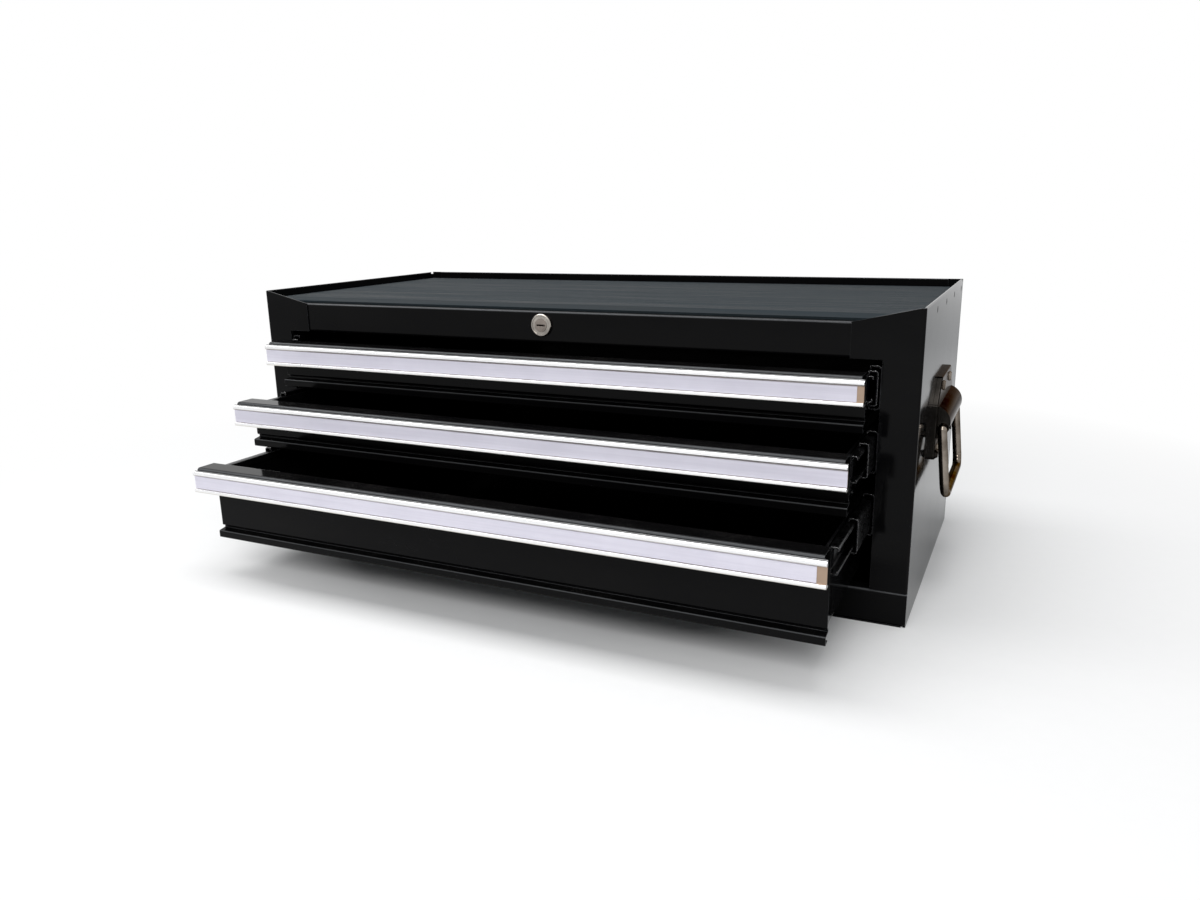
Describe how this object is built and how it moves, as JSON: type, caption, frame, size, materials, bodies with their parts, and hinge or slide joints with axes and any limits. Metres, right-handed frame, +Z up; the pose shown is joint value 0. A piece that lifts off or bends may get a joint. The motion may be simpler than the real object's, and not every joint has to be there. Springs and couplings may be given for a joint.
{
  "type": "tool chest",
  "caption": "Low folded-steel tool chest with drawers on ball-bearing slides, full-width pulls, a keyed lock with a lifting bar, a ribbed top mat and bail handles on the sides.",
  "frame": {"origin": "centre of the cabinet's underside, which it rests on", "axes": "+Z up; +X along the width, to the right seen from the front; the drawers open towards -Y"},
  "size_m": [0.6984, 0.4486, 0.26],
  "materials": {
    "cabinet_paint": "gloss",
    "inner_paint": "gloss",
    "mat_rubber": "ribbed matt",
    "lock_nickel": "polished",
    "zinc_steel": "zinc plated",
    "slide_steel": "zinc plated",
    "cage_steel": "bright",
    "handle_chrome": "polished",
    "pull_aluminium": "satin anodised",
    "label_plastic": "satin"
  },
  "bodies": {
    "chest": {"side_panel_left": "cabinet_paint", "side_panel_right": "cabinet_paint", "back_panel": "cabinet_paint", "bottom_panel": "cabinet_paint", "front_bottom_rail": "cabinet_paint", "front_top_rail": "cabinet_paint", "top_shelf": "cabinet_paint", "front_post_left": "inner_paint", "front_post_right": "inner_paint", "rear_post_left": "inner_paint", "rear_post_right": "inner_paint", "top_mat": "mat_rubber", "lock_cylinder": "lock_nickel", "lock_nut": "zinc_steel", "lock_guides": "zinc_steel", "slide_rivets": "zinc_steel", "handle_rivets": "handle_chrome", "handle_plate_left": "handle_chrome", "handle_plate_right": "handle_chrome", "slide_outer_top_left": "slide_steel", "slide_outer_top_right": "slide_steel", "slide_outer_middle_left": "slide_steel", "slide_outer_middle_right": "slide_steel", "slide_outer_bottom_left": "slide_steel", "slide_outer_bottom_right": "slide_steel"},
    "drawer_top": {"drawer_tray_top": "inner_paint", "drawer_front_top": "cabinet_paint", "drawer_pull_top": "pull_aluminium", "label_strip_top": "label_plastic", "slide_inner_top_left": "slide_steel", "slide_inner_top_right": "slide_steel"},
    "slide_middles_top": {"slide_middle_top_left": "slide_steel", "slide_middle_top_right": "slide_steel"},
    "outer_cages_top": {"ball_cages_outer_top": "cage_steel"},
    "inner_cages_top": {"ball_cages_inner_top": "cage_steel"},
    "drawer_middle": {"drawer_tray_middle": "inner_paint", "drawer_front_middle": "cabinet_paint", "drawer_pull_middle": "pull_aluminium", "label_strip_middle": "label_plastic", "slide_inner_middle_left": "slide_steel", "slide_inner_middle_right": "slide_steel"},
    "slide_middles_middle": {"slide_middle_middle_left": "slide_steel", "slide_middle_middle_right": "slide_steel"},
    "outer_cages_middle": {"ball_cages_outer_middle": "cage_steel"},
    "inner_cages_middle": {"ball_cages_inner_middle": "cage_steel"},
    "drawer_bottom": {"drawer_tray_bottom": "inner_paint", "drawer_front_bottom": "cabinet_paint", "drawer_pull_bottom": "pull_aluminium", "label_strip_bottom": "label_plastic", "slide_inner_bottom_left": "slide_steel", "slide_inner_bottom_right": "slide_steel"},
    "slide_middles_bottom": {"slide_middle_bottom_left": "slide_steel", "slide_middle_bottom_right": "slide_steel"},
    "outer_cages_bottom": {"ball_cages_outer_bottom": "cage_steel"},
    "inner_cages_bottom": {"ball_cages_inner_bottom": "cage_steel"},
    "lock_turning": {"lock_plug": "lock_nickel", "lock_rod": "zinc_steel"},
    "lock_lifting": {"lock_bar": "zinc_steel"},
    "bail_right": {"bail_right": "handle_chrome"},
    "bail_left": {"bail_left": "handle_chrome"}
  },
  "joints": [
    {"name": "drawer_top_slide", "type": "slide", "parent": "chest", "child": "drawer_top", "axis": [0, -1, 0], "range_m": [-0.008, 0.232]},
    {"name": "outer_cages_top_slide", "type": "slide", "parent": "chest", "child": "outer_cages_top", "axis": [0, -1, 0], "range_m": [-0.002, 0.058]},
    {"name": "slide_middles_top_slide", "type": "slide", "parent": "chest", "child": "slide_middles_top", "axis": [0, -1, 0], "range_m": [-0.004, 0.116]},
    {"name": "inner_cages_top_slide", "type": "slide", "parent": "chest", "child": "inner_cages_top", "axis": [0, -1, 0], "range_m": [-0.006, 0.174]},
    {"name": "drawer_middle_slide", "type": "slide", "parent": "chest", "child": "drawer_middle", "axis": [0, -1, 0], "range_m": [-0.057, 0.183]},
    {"name": "outer_cages_middle_slide", "type": "slide", "parent": "chest", "child": "outer_cages_middle", "axis": [0, -1, 0], "range_m": [-0.01425, 0.04575]},
    {"name": "slide_middles_middle_slide", "type": "slide", "parent": "chest", "child": "slide_middles_middle", "axis": [0, -1, 0], "range_m": [-0.0285, 0.0915]},
    {"name": "inner_cages_middle_slide", "type": "slide", "parent": "chest", "child": "inner_cages_middle", "axis": [0, -1, 0], "range_m": [-0.04275, 0.13725]},
    {"name": "drawer_bottom_slide", "type": "slide", "parent": "chest", "child": "drawer_bottom", "axis": [0, -1, 0], "range_m": [-0.113, 0.127]},
    {"name": "outer_cages_bottom_slide", "type": "slide", "parent": "chest", "child": "outer_cages_bottom", "axis": [0, -1, 0], "range_m": [-0.02825, 0.03175]},
    {"name": "slide_middles_bottom_slide", "type": "slide", "parent": "chest", "child": "slide_middles_bottom", "axis": [0, -1, 0], "range_m": [-0.0565, 0.0635]},
    {"name": "inner_cages_bottom_slide", "type": "slide", "parent": "chest", "child": "inner_cages_bottom", "axis": [0, -1, 0], "range_m": [-0.08475, 0.09525]},
    {"name": "lock_turn", "type": "hinge", "parent": "chest", "child": "lock_turning", "pos_m": [0, -0.14, 0.2355], "axis": [0, 1, 0], "range_deg": [0, 90]},
    {"name": "lock_bar_lift", "type": "slide", "parent": "chest", "child": "lock_lifting", "axis": [0, 0, 1], "range_m": [-0.0001, 0.0073]},
    {"name": "bail_right_swing", "type": "hinge", "parent": "chest", "child": "bail_right", "pos_m": [0.339, 0, 0.147], "axis": [0, -1, 0], "range_deg": [0, 90]},
    {"name": "bail_left_swing", "type": "hinge", "parent": "chest", "child": "bail_left", "pos_m": [-0.339, 0, 0.147], "axis": [0, 1, 0], "range_deg": [0, 90]}
  ],
  "couplings": [
    {"joint": "outer_cages_top_slide", "follows": "drawer_top_slide", "ratio": 0.25},
    {"joint": "slide_middles_top_slide", "follows": "drawer_top_slide", "ratio": 0.5},
    {"joint": "inner_cages_top_slide", "follows": "drawer_top_slide", "ratio": 0.75},
    {"joint": "outer_cages_middle_slide", "follows": "drawer_middle_slide", "ratio": 0.25},
    {"joint": "slide_middles_middle_slide", "follows": "drawer_middle_slide", "ratio": 0.5},
    {"joint": "inner_cages_middle_slide", "follows": "drawer_middle_slide", "ratio": 0.75},
    {"joint": "outer_cages_bottom_slide", "follows": "drawer_bottom_slide", "ratio": 0.25},
    {"joint": "slide_middles_bottom_slide", "follows": "drawer_bottom_slide", "ratio": 0.5},
    {"joint": "inner_cages_bottom_slide", "follows": "drawer_bottom_slide", "ratio": 0.75},
    {"joint": "lock_bar_lift", "follows": "lock_turn", "m_per_rad": 0.004502}
  ]
}
